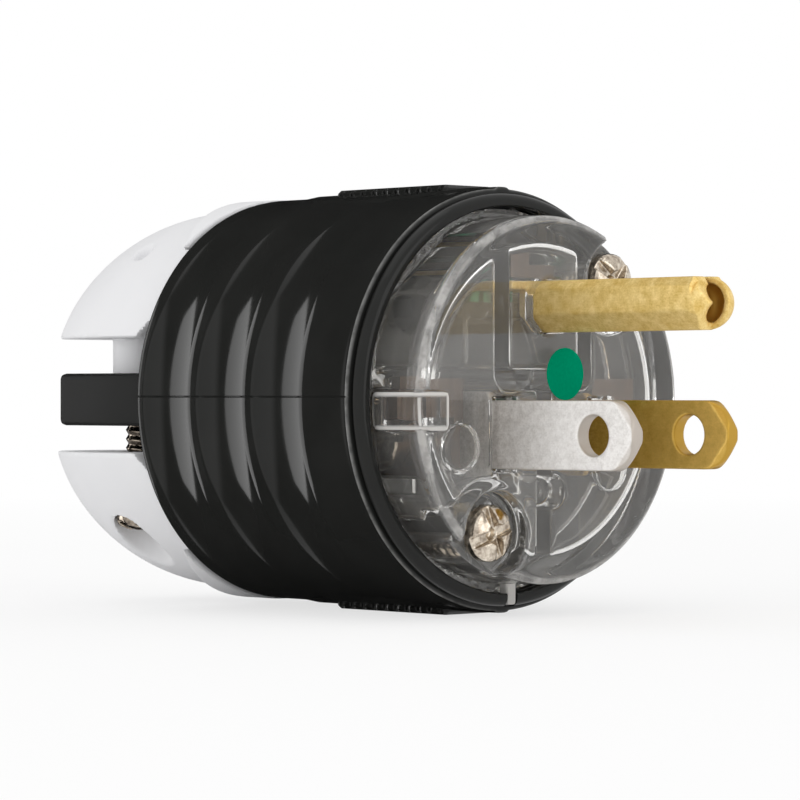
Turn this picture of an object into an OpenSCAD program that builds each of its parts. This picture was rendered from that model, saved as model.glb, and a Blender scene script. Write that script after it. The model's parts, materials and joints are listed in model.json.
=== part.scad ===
// Round three-pin mains plug that can be rewired: a black ribbed shell, a clear front
// body that carries two flat blades and a grounding pin, and a white two-jaw cord clamp.
// Frame: X runs along the plug with the blades towards +X, the mating face is the plane
// x = 0 with the origin at its centre, and +Z points up to the grounding pin.

/* [Shell] */
// Diameter of the shell's grip
shell_d = 40; // [38:0.5:50]
// Length of the shell from front rim to rear face
shell_len = 31.8; // [26:0.2:40]
// Thickness of the shell's side wall
shell_wall = 3; // [2.6:0.1:3.6]
// Thickness of the shell's rear wall
rear_wall = 2.5; // [1.6:0.1:4]
// Diameter of the cord hole in the rear wall
cord_hole_d = 19; // [12:0.5:22]
// Distance from the mating face back to the shell's front rim
face_proud = 5.4; // [4:0.1:8]
// Radius of the rounded bead round the front rim
bead_r = 0.9; // [0.5:0.1:1.2]
// Step between the grip and the bead
bead_step = 0.4; // [0.2:0.1:0.6]
// Radius of the edge at the rear of the grip
rear_edge_r = 0.5; // [0.2:0.1:1]
// Width of the key slot in the front rim
key_w = 1.4; // [0.8:0.1:2]

/* [Grip] */
// Number of crescent grooves on each side of the grip
groove_count = 3; // [1:1:4]
// Distance from one groove to the next
groove_pitch = 8; // [6:0.1:9]
// Width of a groove at mid-height
groove_w = 6.8; // [4:0.2:8]
// Depth of a groove at mid-height
groove_depth = 0.4; // [0.2:0.1:1.4]
// Angle from mid-height at which a groove runs out
groove_runout = 75; // [60:1:85]
// Distance from the rear face to the middle of the last groove
groove_start = 4.6; // [2:0.1:6]
// Length of the flat pads on top and bottom
pad_len = 15.5; // [8:0.5:24]
// Width of the flat pads
pad_w = 6.4; // [3:0.2:12]
// Height of the pads above the grip
pad_h = 0.5; // [0.4:0.1:1.5]
// Distance from the front rim to the pads
pad_setback = 5.8; // [1.4:0.2:9]
// Height of the swelling round each pad
swell_h = 0.2; // [0.1:0.05:0.35]
// Width of the swelling round each pad
swell_w = 13; // [10:0.5:16]
// Length of the swelling round each pad
swell_len = 26; // [20:0.5:28]

/* [Clear front body] */
// Distance of the nose's side outside the shell's bore
nose_over = 0.3; // [0.1:0.05:0.5]
// Radius of the nose's front edge
nose_edge_r = 1; // [0.4:0.1:1.6]
// Thickness of the front plate
plate_t = 2.2; // [1.6:0.1:3]
// Width of the locating flange beyond the nose
flange_w = 0.8; // [0.6:0.1:1]
// Length of the locating flange
flange_len = 2.4; // [1.5:0.1:3]
// Distance from the front rim back to the flange
flange_setback = 1.6; // [1:0.1:2.5]
// Length of the skirt behind the flange
skirt_len = 8; // [7:0.2:12]
// Thickness of the skirt
skirt_t = 2; // [1.4:0.1:2.4]
// Clearance between the front body and the shell
body_gap = 0.2; // [0.1:0.05:0.3]
// Thickness of the walls between the terminals
rib_t = 1.8; // [1.2:0.1:2]
// Width inside the walls round the grounding terminal
ground_bay_w = 9.2; // [8.8:0.1:10]
// Height of the lug on the side of the nose
lug_h = 3.4; // [2:0.2:5]
// Height of the lug's middle, from the plug's axis
lug_z = -1; // [-2:0.2:2]
// Reach of the lug across the mating face
lug_in = 3.6; // [2:0.2:4]
// Reach of the lug back along the nose
lug_back = 4.6; // [3:0.2:5]
// Height of the lug above the nose
lug_proud = 0.4; // [0.3:0.1:0.8]

/* [Blades] */
// Distance between the two flat blades
blade_pitch = 12.7; // [12.4:0.1:13]
// Height of a flat blade
blade_h = 6.35; // [6:0.05:6.7]
// Thickness of a flat blade
blade_t = 1.52; // [1.4:0.01:1.7]
// Length of a flat blade from the mating face
blade_len = 16.7; // [15.9:0.1:18.3]
// Height of the blades' middle, from the plug's axis
blade_z = -3.2; // [-4:0.1:-2]
// Diameter of the hole in a blade
blade_hole_d = 3.96; // [3.5:0.02:4.2]
// Distance from the mating face to the hole
blade_hole_x = 11.9; // [11:0.1:12.5]
// Radius of the corners at a blade's tip
tip_r = 3; // [1:0.1:3]
// Length of the bevels at a blade's tip
tip_bevel = 0.6; // [0.5:0.1:2.4]
// Depth of the bevels at a blade's tip
tip_bevel_t = 0.3; // [0.2:0.05:0.6]
// Lean of the two bevels that meet on each face of a tip
tip_lean = 37; // [20:1:45]
// Distance from the blades' middle to the grounding pin's middle
ground_rise = 11.9; // [11.6:0.1:12.1]
// Size across the grounding pin
ground_d = 4.8; // [4.6:0.05:5]
// Length of the grounding pin from the mating face
ground_len = 21.7; // [20:0.1:23.5]
// Wall of the grounding pin
ground_wall = 0.8; // [0.8:0.05:1.4]
// Width of the seam along the top of the grounding pin
seam_w = 0.4; // [0.2:0.1:0.8]
// Distance from the grounding pin's end to the point of its near wall
ground_lip = 1; // [0.8:0.1:4.5]
// Lean of the two cuts that form that point
ground_lip_a = 56; // [30:1:60]
// Clearance round the blades in the front body
slot_gap = 0.15; // [0.05:0.05:0.3]

/* [Terminals] */
// Height of a terminal behind the front plate
term_h = 8; // [7:0.2:8.4]
// Thickness of a wire clamping plate
clamp_plate_t = 1.2; // [0.8:0.1:1.6]
// Width of the gap for the wire under a clamping plate
wire_gap = 1.4; // [0.4:0.1:1.6]
// Height of a clamping plate across the terminal
clamp_plate_h = 7; // [6:0.2:8]
// Diameter of a terminal screw
term_screw_d = 3.5; // [3:0.1:4]
// Diameter of a terminal screw's head
term_head_d = 6; // [5:0.1:6.6]
// Height of a terminal screw's head
term_head_h = 2; // [1.4:0.1:2.4]
// Length of a terminal screw's shank
term_screw_len = 6; // [5:0.2:7]
// Room in front of a clamping plate
plate_setback = 2; // [1:0.1:3]
// Height of the tab that stops the wire
wire_stop_h = 3.6; // [2:0.1:4]
// Height of that tab beyond the edge of its plate
wire_stop_rise = 1.7; // [0.5:0.1:2]
// Width of the gap for the wire under the grounding terminal's plate
ground_wire_gap = 0.4; // [0.2:0.1:0.6]
// Height of the grounding screw's head
ground_head_h = 1.5; // [1:0.1:1.6]
// Length of the grounding screw's thread behind its terminal
ground_screw_end = 1; // [0.5:0.1:1.5]
// Thickness of the disc that holds the terminals in
retainer_t = 2; // [1.4:0.1:3]
// Diameter of a wire hole in that disc
wire_hole_d = 4.6; // [3.6:0.1:5]
// Distance of the wire holes from the plug's axis
wire_hole_r = 8.6; // [7.5:0.1:9]

/* [Assembly screws] */
// Distance from the edge of the nose to an assembly screw
screw_inset = 3; // [2.8:0.1:3.6]
// Angle of the upper assembly screw, from +Y towards +Z
upper_screw_a = 52; // [46:1:58]
// Angle of the lower assembly screw, from +Y towards +Z
lower_screw_a = 239.5; // [234:0.5:245]
// Diameter of an assembly screw
screw_d = 3.5; // [3:0.1:4]
// Diameter of an assembly screw's head
screw_head_d = 5.3; // [4.8:0.1:6]
// Height of an assembly screw's head
screw_head_h = 2.1; // [1.6:0.1:2.4]
// Depth of the pocket round a screw head
pocket_depth = 2; // [2:0.1:3]
// Diameter of the pocket round a screw head
pocket_d = 7.8; // [6.6:0.1:8.4]
// Length of a threaded insert
insert_len = 8; // [5:0.2:10]
// Wall of a threaded insert
insert_wall = 0.9; // [0.6:0.1:1.2]
// Wall of a boss round an insert
boss_wall = 1.1; // [0.8:0.1:1.6]
// Clearance between a thread and its insert, and between an insert and its boss
thread_gap = 0.08; // [0.03:0.01:0.1]
// Clearance of a screw in a plain hole
hole_gap = 0.2; // [0.1:0.05:0.4]
// Gap between the shell's bosses and the disc that holds the terminals in
boss_gap = 0.2; // [0.1:0.05:0.4]
// Depth of a boss's hole behind its insert
boss_run = 1; // [0.5:0.1:2]
// Width of the slots in the screw heads
head_slot_w = 1; // [0.6:0.1:1.2]
// Depth of the slots in the screw heads, as a share of the head
head_slot_share = 0.5; // [0.3:0.05:0.7]

/* [Cord clamp] */
// Length of a jaw along the plug
jaw_len = 18.7; // [17:0.1:24]
// Length of a jaw's straight part, before it rounds off
jaw_straight = 6.8; // [5:0.2:11]
// Radius along the plug with which a jaw rounds off
jaw_dome_r = 22; // [14:0.5:30]
// Depth of the jaws' outside below the grip
jaw_drop = 0.9; // [0.4:0.1:1.5]
// Gap between the shell's rear face and the jaws
jaw_gap = 0.5; // [0.3:0.1:1]
// Height of the upper jaw's edge above the plug's axis
upper_edge = 6.1; // [5.2:0.1:7]
// Depth of the lower jaw's edge below the plug's axis
lower_edge = 5.2; // [5.2:0.1:6]
// Travel of each jaw as the clamp closes
jaw_travel = 2.2; // [1:0.1:2.2]
// Thickness of a jaw's outer skin
jaw_skin = 2.6; // [2:0.1:3]
// Diameter of the cord channel between the jaws' teeth
channel_d = 18; // [12:0.5:18]
// Height of the teeth that grip the cord
tooth_h = 1; // [0.4:0.1:1.2]
// Number of teeth
tooth_count = 4; // [2:1:5]
// Size of the cut-off corner at a jaw's front edge
jaw_corner = 2; // [0.5:0.1:3]
// Length of the saddle over the front of a jaw
saddle_len = 4.8; // [4:0.2:8]
// Height above the plug's axis at which the saddle starts
saddle_foot = 14.5; // [10:0.5:17]
// Height of the saddle above the jaw
saddle_h = 1; // [0.5:0.1:1.2]
// Height of the posts beside the clamp
post_h = 5.2; // [4:0.1:5.6]
// Thickness of the posts
post_t = 2.4; // [2:0.1:3.4]
// Length of the posts behind the shell
post_len = 15; // [12:0.2:18]
// Distance of the posts inside the grip's outside
post_inset = 2.2; // [1.6:0.1:3]
// Clearance between the jaws and what they slide past
slide_gap = 0.3; // [0.2:0.05:0.5]
// Distance from the jaws' front to the clamp screws
clamp_screw_x = 8; // [7:0.1:12]
// Diameter of a clamp screw
clamp_screw_d = 3.5; // [3:0.1:4]
// Diameter of a clamp screw's head
clamp_head_d = 5.3; // [4.8:0.1:5.6]
// Height of a clamp screw's head
clamp_head_h = 2.2; // [1.6:0.1:2.6]
// Depth of a clamp screw's head seat below the plug's axis
clamp_seat = 11; // [9:0.1:11.4]
// Length of a clamp screw's shank
clamp_screw_len = 18.6; // [16:0.2:19]
// Length of a clamp screw's insert
clamp_insert_len = 6; // [4:0.2:7]
// Wall of a clamp screw's insert
clamp_insert_wall = 0.5; // [0.4:0.1:0.8]
// Wall round a clamp screw's insert and head
clamp_wall = 0.6; // [0.5:0.1:1]
// Clearance round a clamp screw's head
clamp_head_gap = 0.2; // [0.1:0.05:0.3]
// Gap left between a clamp screw's column and the lower jaw when closed
column_gap = 1.4; // [0.5:0.1:1.6]
// Diameter of the sight hole over a clamp screw
sight_hole_d = 2.4; // [1.6:0.1:3]

/* [Hidden] */
$fn = 72;
eps = 0.01;
over = 5;

// Places along the plug
x_rim = -face_proud;
x_rear = x_rim - shell_len;
x_flange = x_rim - flange_setback;
x_seat = x_flange - flange_len;
x_skirt = x_seat - skirt_len;
x_retainer = x_skirt - retainer_t;
x_jaw = x_rear - jaw_gap;
x_tail = x_jaw - jaw_len;
x_wall = x_rear + rear_wall;

// Radii about the plug's axis
shell_r = shell_d / 2;
bore_r = shell_r - shell_wall;
nose_r = bore_r + nose_over;
flange_r = nose_r + flange_w;
skirt_r = bore_r - body_gap;
bay_r = skirt_r - skirt_t;
seat_r = flange_r + body_gap;
pad_z = shell_r + pad_h;

// Grip grooves: a ring of round section, set to one side, touches the grip at the run-out angle
groove_shift = groove_depth / (1 - cos(groove_runout));
groove_inner = shell_r - groove_depth + groove_shift;
groove_ring_r = (pow(groove_w / 2, 2) + pow(groove_depth, 2)) / (2 * groove_depth);

// Assembly screws
screw_ring = nose_r - screw_inset;
screw_angles = [lower_screw_a, upper_screw_a];
insert_r = screw_d / 2 + thread_gap + insert_wall;
boss_r = insert_r + thread_gap + boss_wall;
x_boss = x_retainer - boss_gap;
screw_len = -pocket_depth - (x_boss - insert_len);
pocket_r = pocket_d / 2;
column_r = pocket_r + plate_t / 2;

// Blades and terminals
ground_z = blade_z + ground_rise;
blade_y = blade_pitch / 2;
x_term = -plate_t - slot_gap;
x_term_end = x_skirt + slot_gap;
term_len = x_term - x_term_end;
x_term_screw = x_term - term_len / 2 - plate_setback / 2;
plate_len = term_len - plate_setback;
clamp_y0 = blade_y + blade_t / 2 + wire_gap;
ground_top = ground_z + ground_d / 2;
ground_clamp_z = ground_top + ground_wire_gap;
bay_floor = blade_z + term_h / 2 + slot_gap;
ground_bay_floor = bay_floor + rib_t;
stop_top = blade_z + clamp_plate_h / 2 + wire_stop_rise;
side_stop = sqrt(pow(bay_r, 2) - pow(stop_top, 2)) - clamp_y0 - slide_gap;
top_stop = sqrt(pow(bay_r, 2) - pow(clamp_plate_h / 2, 2)) - ground_clamp_z - slide_gap;
ground_screw_len = clamp_plate_t + ground_wire_gap + ground_wall + ground_screw_end;

// Cord clamp
jaw_r = shell_r - jaw_drop;
tail_run = jaw_len - jaw_straight;
clamp_insert_r = clamp_screw_d / 2 + thread_gap + clamp_insert_wall;
clamp_boss_r = clamp_insert_r + thread_gap;
post_out = shell_r - post_inset;
post_in = post_out - post_t;
clamp_col_r = clamp_boss_r + clamp_wall;
clamp_y = post_in - slide_gap - clamp_col_r;
x_clamp = x_jaw - clamp_screw_x;
clamp_foot = 2 * jaw_travel - lower_edge + column_gap;
clamp_tip = clamp_screw_len - clamp_seat;
clamp_bore_top = clamp_tip + 2 * jaw_travel + 2 * slide_gap;
tooth_pitch = jaw_len / tooth_count;

black = [0.05, 0.05, 0.055];
white = [0.93, 0.93, 0.95];
clear = [0.8, 0.82, 0.82, 0.4];
nickel = [0.78, 0.77, 0.75];
brass = [0.78, 0.6, 0.27];
green = [0.05, 0.45, 0.25];
bronze = [0.62, 0.42, 0.3];

// Points of an arc about (cx, cy) from angle a to angle b
function arc(cx, cy, r, a, b, steps = 6) =
    [for (i = [0:steps]) let (t = a + (b - a) * i / steps) [cx + r * cos(t), cy + r * sin(t)]];

// A shape turned about the plug's axis, from points given as radius and place along X
module turned(points) {
    rotate([0, 90, 0]) rotate_extrude() polygon(points);
}

// A round bar along X from x0 back to x1
module bar_x(r, x0, x1, y = 0, z = 0) {
    translate([x1, y, z]) rotate([0, 90, 0]) cylinder(r = r, h = x0 - x1);
}

// A round bar along Z from z0 up to z1
module bar_z(r, z0, z1, x, y) {
    translate([x, y, z0]) cylinder(r = r, h = z1 - z0);
}

// A box given by its two ends along each axis
module block(x, y, z) {
    translate([x[0], y[0], z[0]]) cube([x[1] - x[0], y[1] - y[0], z[1] - z[0]]);
}

// Puts its children at an angle round the plug, on the assembly screws' circle
module at_screw(a) {
    translate([0, screw_ring * cos(a), screw_ring * sin(a)]) children();
}

// A screw with its seat at z = 0, the head above it and crossed slots in the head
module screw(d, len, head_d, head_h) {
    depth = head_h * head_slot_share;
    edge = head_h / 4;
    difference() {
        union() {
            translate([0, 0, -len]) cylinder(d = d, h = len + eps);
            rotate_extrude() polygon(concat(
                [[0, 0], [head_d / 2, 0]],
                arc(head_d / 2 - edge, head_h - edge, edge, 0, 90),
                [[0, head_h]]));
        }
        for (turn = [0, 90])
            rotate([0, 0, turn])
                translate([-head_d, -head_slot_w / 2, head_h - depth])
                    cube([2 * head_d, head_slot_w, head_h]);
    }
}

// A plain threaded insert along +Z from z = 0
module insert(d, wall, len) {
    difference() {
        cylinder(r = d / 2 + thread_gap + wall, h = len);
        translate([0, 0, -over]) cylinder(r = d / 2 + thread_gap, h = len + 2 * over);
    }
}

// The outside of the shell before its grooves are cut
module shell_outside() {
    bead_x = x_rim - bead_r;
    bead_mid = shell_r - bead_step - bead_r;
    turned(concat(
        [[0, x_rear]],
        arc(shell_r - rear_edge_r, x_rear + rear_edge_r, rear_edge_r, -90, 0),
        [[shell_r, bead_x - bead_step], [shell_r - bead_step, bead_x]],
        arc(bead_mid, bead_x, bead_r, 0, 90),
        [[0, x_rim]]));
}

// A flat pad on a low lens-shaped swelling
module pad() {
    x_pad = x_rim - pad_setback;
    x_swell = x_rim - bead_r - bead_step;
    lens_r = (pow(swell_len, 2) / 4 + pow(swell_w, 2) / 4) / swell_w;
    block([x_pad - pad_len, x_pad], [-pad_w / 2, pad_w / 2], [bore_r, pad_z]);
    intersection() {
        bar_x(shell_r + swell_h, x_swell, x_rear);
        translate([x_swell - swell_len / 2, 0, bore_r])
            linear_extrude(shell_r)
                intersection_for (side = [-1, 1])
                    translate([0, side * (lens_r - swell_w / 2)]) circle(lens_r);
    }
}

// The crescent grooves on one side of the grip
module grooves(side) {
    for (i = [0:groove_count - 1])
        translate([x_rear + groove_start + i * groove_pitch, -side * groove_shift, 0])
            rotate([0, 90, 0])
                rotate_extrude()
                    translate([groove_inner + groove_ring_r, 0]) circle(groove_ring_r);
}

// The posts that guard the cord clamp's screws
module posts() {
    for (side = [-1, 1])
        block([x_rear - post_len, x_wall], side > 0 ? [post_in, post_out] : [-post_out, -post_in],
              [-post_h / 2, post_h / 2]);
}

module shell() color(black) {
    difference() {
        union() {
            difference() {
                shell_outside();
                grooves(1);
                grooves(-1);
            }
            pad();
            mirror([0, 0, 1]) pad();
            posts();
        }
        difference() {
            bar_x(bore_r, over, x_wall);
            for (a = screw_angles)
                at_screw(a) bar_x(boss_r, x_boss, x_wall - eps);
        }
        bar_x(seat_r, over, x_seat);
        bar_x(cord_hole_d / 2, 0, x_rear - over);
        for (a = screw_angles)
            at_screw(a) {
                bar_x(insert_r + thread_gap, x_boss + over, x_boss - insert_len);
                bar_x(screw_d / 2 + hole_gap, x_boss, x_boss - insert_len - boss_run);
            }
        block([x_seat, over], [-key_w / 2, key_w / 2], [-shell_r + bead_step, -nose_r]);
    }
}

// The round outside of the clear front body
module front_outside() {
    turned(concat(
        [[0, x_skirt], [skirt_r, x_skirt], [skirt_r, x_seat], [flange_r, x_seat],
         [flange_r, x_flange], [nose_r, x_flange]],
        arc(nose_r - nose_edge_r, -nose_edge_r, nose_edge_r, 0, 90),
        [[0, 0]]));
    key_gap = body_gap / 2;
    block([x_seat + key_gap, x_rim - bead_r],
          [-key_w / 2 + key_gap, key_w / 2 - key_gap],
          [-shell_r + bead_step + bead_r, -nose_r + flange_w]);
}

// The lug that wraps over the nose's edge
module lug() {
    corner = lug_h / 4;
    z0 = lug_z - lug_h / 2;
    z1 = lug_z + lug_h / 2;
    intersection() {
        bar_x(nose_r + lug_proud, lug_proud, -lug_back);
        translate([-lug_back, 0, 0])
            rotate([90, 0, 90])
                linear_extrude(lug_back + lug_proud)
                    union() {
                        translate([-nose_r - over, z0])
                            square([over + lug_in - corner, lug_h]);
                        translate([-nose_r - over, z0 + corner])
                            square([over + lug_in, lug_h - 2 * corner]);
                        for (z = [z0 + corner, z1 - corner])
                            translate([-nose_r + lug_in - corner, z]) circle(corner);
                    }
    }
}

// The walls that part the terminals from each other
module ribs() {
    outer = ground_bay_w / 2 + rib_t;
    inner = ground_bay_w / 2;
    for (side = [-1, 1])
        block([x_skirt, 0], side > 0 ? [inner, outer] : [-outer, -inner], [bay_floor, nose_r]);
    block([x_skirt, 0], [-outer, outer], [bay_floor, ground_bay_floor]);
    block([x_skirt, 0], [-rib_t / 2, rib_t / 2], [-nose_r, bay_floor + eps]);
    for (a = screw_angles)
        at_screw(a) {
            bar_x(boss_r, 0, x_skirt);
            bar_x(column_r, 0, -pocket_depth - plate_t);
        }
}

// The cut across the grounding pin, grown by a clearance
module ground_outline(gap) {
    flat = ground_d / 2 + gap;
    cut = flat * tan(22.5);
    polygon([
        [flat, cut], [cut, flat], [-cut, flat], [-flat, cut],
        [-flat, -cut], [-cut, -flat], [cut, -flat], [flat, -cut]
    ]);
}

module front_body() color(clear) {
    blade_gap_h = blade_h / 2 + slot_gap;
    blade_gap_t = blade_t / 2 + slot_gap;
    difference() {
        union() {
            front_outside();
            lug();
        }
        difference() {
            bar_x(bay_r, -plate_t, x_skirt - over);
            ribs();
        }
        intersection() {
            bar_x(bay_r, -plate_t, x_skirt - over);
            block([x_skirt - over, -plate_t], [-ground_bay_w / 2, ground_bay_w / 2],
                  [ground_bay_floor, nose_r]);
        }
        bar_z(term_head_d / 2 + hole_gap, ground_clamp_z,
              ground_clamp_z + clamp_plate_t + ground_head_h + hole_gap, x_term_screw, 0);
        for (y = [-blade_y, blade_y])
            block([-plate_t - over, over], [y - blade_gap_t, y + blade_gap_t],
                  [blade_z - blade_gap_h, blade_z + blade_gap_h]);
        translate([-plate_t - over, 0, ground_z])
            rotate([90, 0, 90]) linear_extrude(plate_t + 2 * over) ground_outline(slot_gap);
        for (a = screw_angles)
            at_screw(a) {
                bar_x(pocket_r, over, -pocket_depth);
                bar_x(screw_d / 2 + hole_gap, over, x_skirt - over);
            }
    }
}

module terminal_retainer() color(clear) {
    difference() {
        bar_x(skirt_r, x_skirt, x_retainer);
        for (a = screw_angles)
            at_screw(a) bar_x(screw_d / 2 + hole_gap, over, x_retainer - over);
        for (a = [-30, 90, 210])
            bar_x(wire_hole_d / 2, over, x_retainer - over, wire_hole_r * cos(a), wire_hole_r * sin(a));
    }
}

// The outline of a flat blade from the side, with its terminal behind the front plate
module blade_outline() {
    difference() {
        union() {
            translate([-plate_t - slot_gap - eps, -blade_h / 2])
                square([blade_len - tip_r + plate_t + slot_gap + eps, blade_h]);
            translate([0, -blade_h / 2 + tip_r]) square([blade_len, blade_h - 2 * tip_r]);
            for (z = [-1, 1])
                translate([blade_len - tip_r, z * (blade_h / 2 - tip_r)]) circle(tip_r);
            translate([x_term_end, -term_h / 2]) square([term_len, term_h]);
        }
        translate([blade_hole_x, 0]) circle(d = blade_hole_d);
        translate([x_term_screw, 0]) circle(d = term_screw_d + 2 * thread_gap);
    }
}

// A flat blade on the plug's -Y side, with bevelled tip
module blade() {
    bevel_a = atan2(tip_bevel_t, tip_bevel);
    difference() {
        translate([0, -blade_y + blade_t / 2, blade_z])
            rotate([90, 0, 0]) linear_extrude(blade_t) blade_outline();
        for (face = [-1, 1], side = [-1, 1])
            translate([blade_len - tip_bevel, -blade_y + face * blade_t / 2, blade_z])
                rotate([0, side * tip_lean, 0])
                    rotate([0, 0, -face * bevel_a])
                        translate([0, face > 0 ? 0 : -over, -blade_h])
                            cube([2 * over, over, 2 * blade_h]);
    }
}

module neutral_blade() color(nickel) blade();

module hot_blade() color(brass) mirror([0, 1, 0]) blade();

module ground_pin() color(brass) {
    nose_r1 = ground_d / 2;
    x_nose = ground_len - nose_r1;
    x_lip = ground_len - ground_lip;
    lip_back = ground_d * tan(ground_lip_a);
    plate_w = ground_bay_w - 2 * slot_gap;
    difference() {
        union() {
            translate([x_term - ground_wall, 0, ground_z])
                rotate([90, 0, 90])
                    linear_extrude(x_nose - x_term + ground_wall) ground_outline(0);
            translate([x_nose, 0, ground_z]) sphere(nose_r1);
            block([x_term_end, x_term], [-plate_w / 2, plate_w / 2],
                  [ground_top - ground_wall, ground_top]);
        }
        bar_x(nose_r1 - ground_wall, x_nose, x_term - over, 0, ground_z);
        translate([x_nose, 0, ground_z]) sphere(nose_r1 - ground_wall);
        block([0, ground_len], [-seam_w / 2, seam_w / 2], [ground_z, ground_z + ground_d]);
        translate([x_lip, 0, ground_z])
            rotate([90, 0, 0])
                linear_extrude(ground_d)
                    polygon([[0, 0], [-lip_back, ground_d], [over, ground_d],
                             [over, -ground_d], [-lip_back, -ground_d]]);
        bar_z(term_screw_d / 2 + thread_gap, ground_z, ground_z + over, x_term_screw, 0);
    }
}

// A wire clamping plate lying on z = 0, with the tab that stops the wire at its front
module clamp_plate(stop_reach, rise) {
    x_front = x_term_screw + plate_len / 2;
    y_stop = -clamp_plate_h / 2 - rise;
    difference() {
        union() {
            block([x_front - plate_len, x_front],
                  [-clamp_plate_h / 2, clamp_plate_h / 2], [0, clamp_plate_t]);
            block([x_front - clamp_plate_t, x_front],
                  [y_stop, y_stop + wire_stop_h], [0, stop_reach]);
        }
        bar_z(term_screw_d / 2 + hole_gap, -over, over, x_term_screw, 0);
    }
}

module neutral_clamp_plate() color(bronze)
    translate([0, -clamp_y0, blade_z])
        rotate([90, 0, 0]) mirror([0, 1, 0]) clamp_plate(side_stop, wire_stop_rise);

module hot_clamp_plate() color(bronze)
    mirror([0, 1, 0]) translate([0, -clamp_y0, blade_z])
        rotate([90, 0, 0]) mirror([0, 1, 0]) clamp_plate(side_stop, wire_stop_rise);

module ground_clamp_plate() color(bronze)
    translate([0, 0, ground_clamp_z]) clamp_plate(top_stop, 0);

module terminal_screw() screw(term_screw_d, term_screw_len, term_head_d, term_head_h);

module neutral_terminal_screw() color(nickel)
    translate([x_term_screw, -clamp_y0 - clamp_plate_t, blade_z]) rotate([90, 0, 0]) terminal_screw();

module hot_terminal_screw() color(brass)
    translate([x_term_screw, clamp_y0 + clamp_plate_t, blade_z]) rotate([-90, 0, 0]) terminal_screw();

module ground_terminal_screw() color(green)
    translate([x_term_screw, 0, ground_clamp_z + clamp_plate_t])
        screw(term_screw_d, ground_screw_len, term_head_d, ground_head_h);

module assembly_screw(a)
    at_screw(a) translate([-pocket_depth, 0, 0]) rotate([0, 90, 0])
        screw(screw_d, screw_len, screw_head_d, screw_head_h);

module lower_assembly_screw() color(nickel) assembly_screw(lower_screw_a);

module upper_assembly_screw() color(nickel) assembly_screw(upper_screw_a);

module assembly_insert(a)
    at_screw(a) translate([x_boss - insert_len, 0, 0])
        rotate([0, 90, 0]) insert(screw_d, insert_wall, insert_len);

module lower_assembly_insert() color(brass) assembly_insert(lower_screw_a);

module upper_assembly_insert() color(brass) assembly_insert(upper_screw_a);

// The domed outside of a jaw, shrunk by a skin
module jaw_dome(skin) {
    span = asin(tail_run / jaw_dome_r);
    turned(concat(
        [[0, x_jaw], [jaw_r - skin, x_jaw]],
        arc(jaw_r - jaw_dome_r, x_jaw - jaw_straight, jaw_dome_r - skin, 0, -span, 10),
        [[0, x_tail + skin]]));
}

// The saddle over the front of a jaw, which narrows down the sides
module saddle() {
    lean = atan2(saddle_len, jaw_r + saddle_h - saddle_foot);
    intersection() {
        bar_x(jaw_r + saddle_h, x_jaw, x_jaw - saddle_len);
        translate([x_jaw, -jaw_r - over, saddle_foot])
            rotate([0, -lean, 0]) cube([2 * jaw_r, 2 * (jaw_r + over), 2 * jaw_r]);
    }
}

// The cord channel through both jaws, with teeth round it
module channel() {
    valley = channel_d / 2;
    peak = valley - tooth_h;
    turned(concat(
        [[0, x_jaw + over], [valley, x_jaw + over], [valley, x_jaw]],
        [for (i = [0:tooth_count - 1]) each [
            [peak, x_jaw - (i + 0.5) * tooth_pitch],
            [valley, x_jaw - (i + 1) * tooth_pitch]]],
        [[valley, x_tail - over], [0, x_tail - over]]));
}

// One jaw above a given edge height, hollow in front behind its skin
module jaw(edge) {
    difference() {
        intersection() {
            union() {
                jaw_dome(0);
                saddle();
            }
            block([x_tail - over, x_jaw], [-shell_r, shell_r], [edge, shell_r + over]);
        }
        channel();
        difference() {
            jaw_dome(jaw_skin);
            bar_x(channel_d / 2 + jaw_skin, x_jaw + over, x_tail - over);
            block([x_tail, x_jaw + over], [-shell_r, shell_r], [-shell_r, edge + jaw_skin]);
            for (y = [-clamp_y, clamp_y])
                bar_z(clamp_head_d / 2 + clamp_head_gap + clamp_wall, 0, shell_r, x_clamp, y);
        }
        translate([x_jaw - jaw_corner, -shell_r, edge])
            rotate([0, 45, 0])
                translate([0, 0, -over]) cube([2 * jaw_corner, shell_d, over]);
    }
}

module upper_jaw() color(white) {
    difference() {
        union() {
            jaw(upper_edge);
            for (y = [-clamp_y, clamp_y])
                bar_z(clamp_col_r, clamp_foot, upper_edge + jaw_skin, x_clamp, y);
        }
        for (y = [-clamp_y, clamp_y]) {
            bar_z(clamp_boss_r, -over, clamp_foot + clamp_insert_len, x_clamp, y);
            bar_z(clamp_screw_d / 2 + hole_gap, 0, clamp_bore_top, x_clamp, y);
            bar_z(sight_hole_d / 2, 0, shell_r, x_clamp, y);
        }
    }
}

module lower_jaw() color(white) {
    difference() {
        mirror([0, 0, 1]) jaw(lower_edge);
        for (y = [-clamp_y, clamp_y]) {
            bar_z(clamp_screw_d / 2 + hole_gap, -shell_r, 0, x_clamp, y);
            bar_z(clamp_head_d / 2 + clamp_head_gap, -shell_r - over, -clamp_seat, x_clamp, y);
        }
    }
}

module clamp_screw(y)
    translate([x_clamp, y, -clamp_seat]) rotate([180, 0, 0])
        screw(clamp_screw_d, clamp_screw_len, clamp_head_d, clamp_head_h);

module near_clamp_screw() color(nickel) clamp_screw(-clamp_y);

module far_clamp_screw() color(nickel) clamp_screw(clamp_y);

module near_clamp_insert() color(brass)
    translate([x_clamp, -clamp_y, clamp_foot]) insert(clamp_screw_d, clamp_insert_wall, clamp_insert_len);

module far_clamp_insert() color(brass)
    translate([x_clamp, clamp_y, clamp_foot]) insert(clamp_screw_d, clamp_insert_wall, clamp_insert_len);

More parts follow.
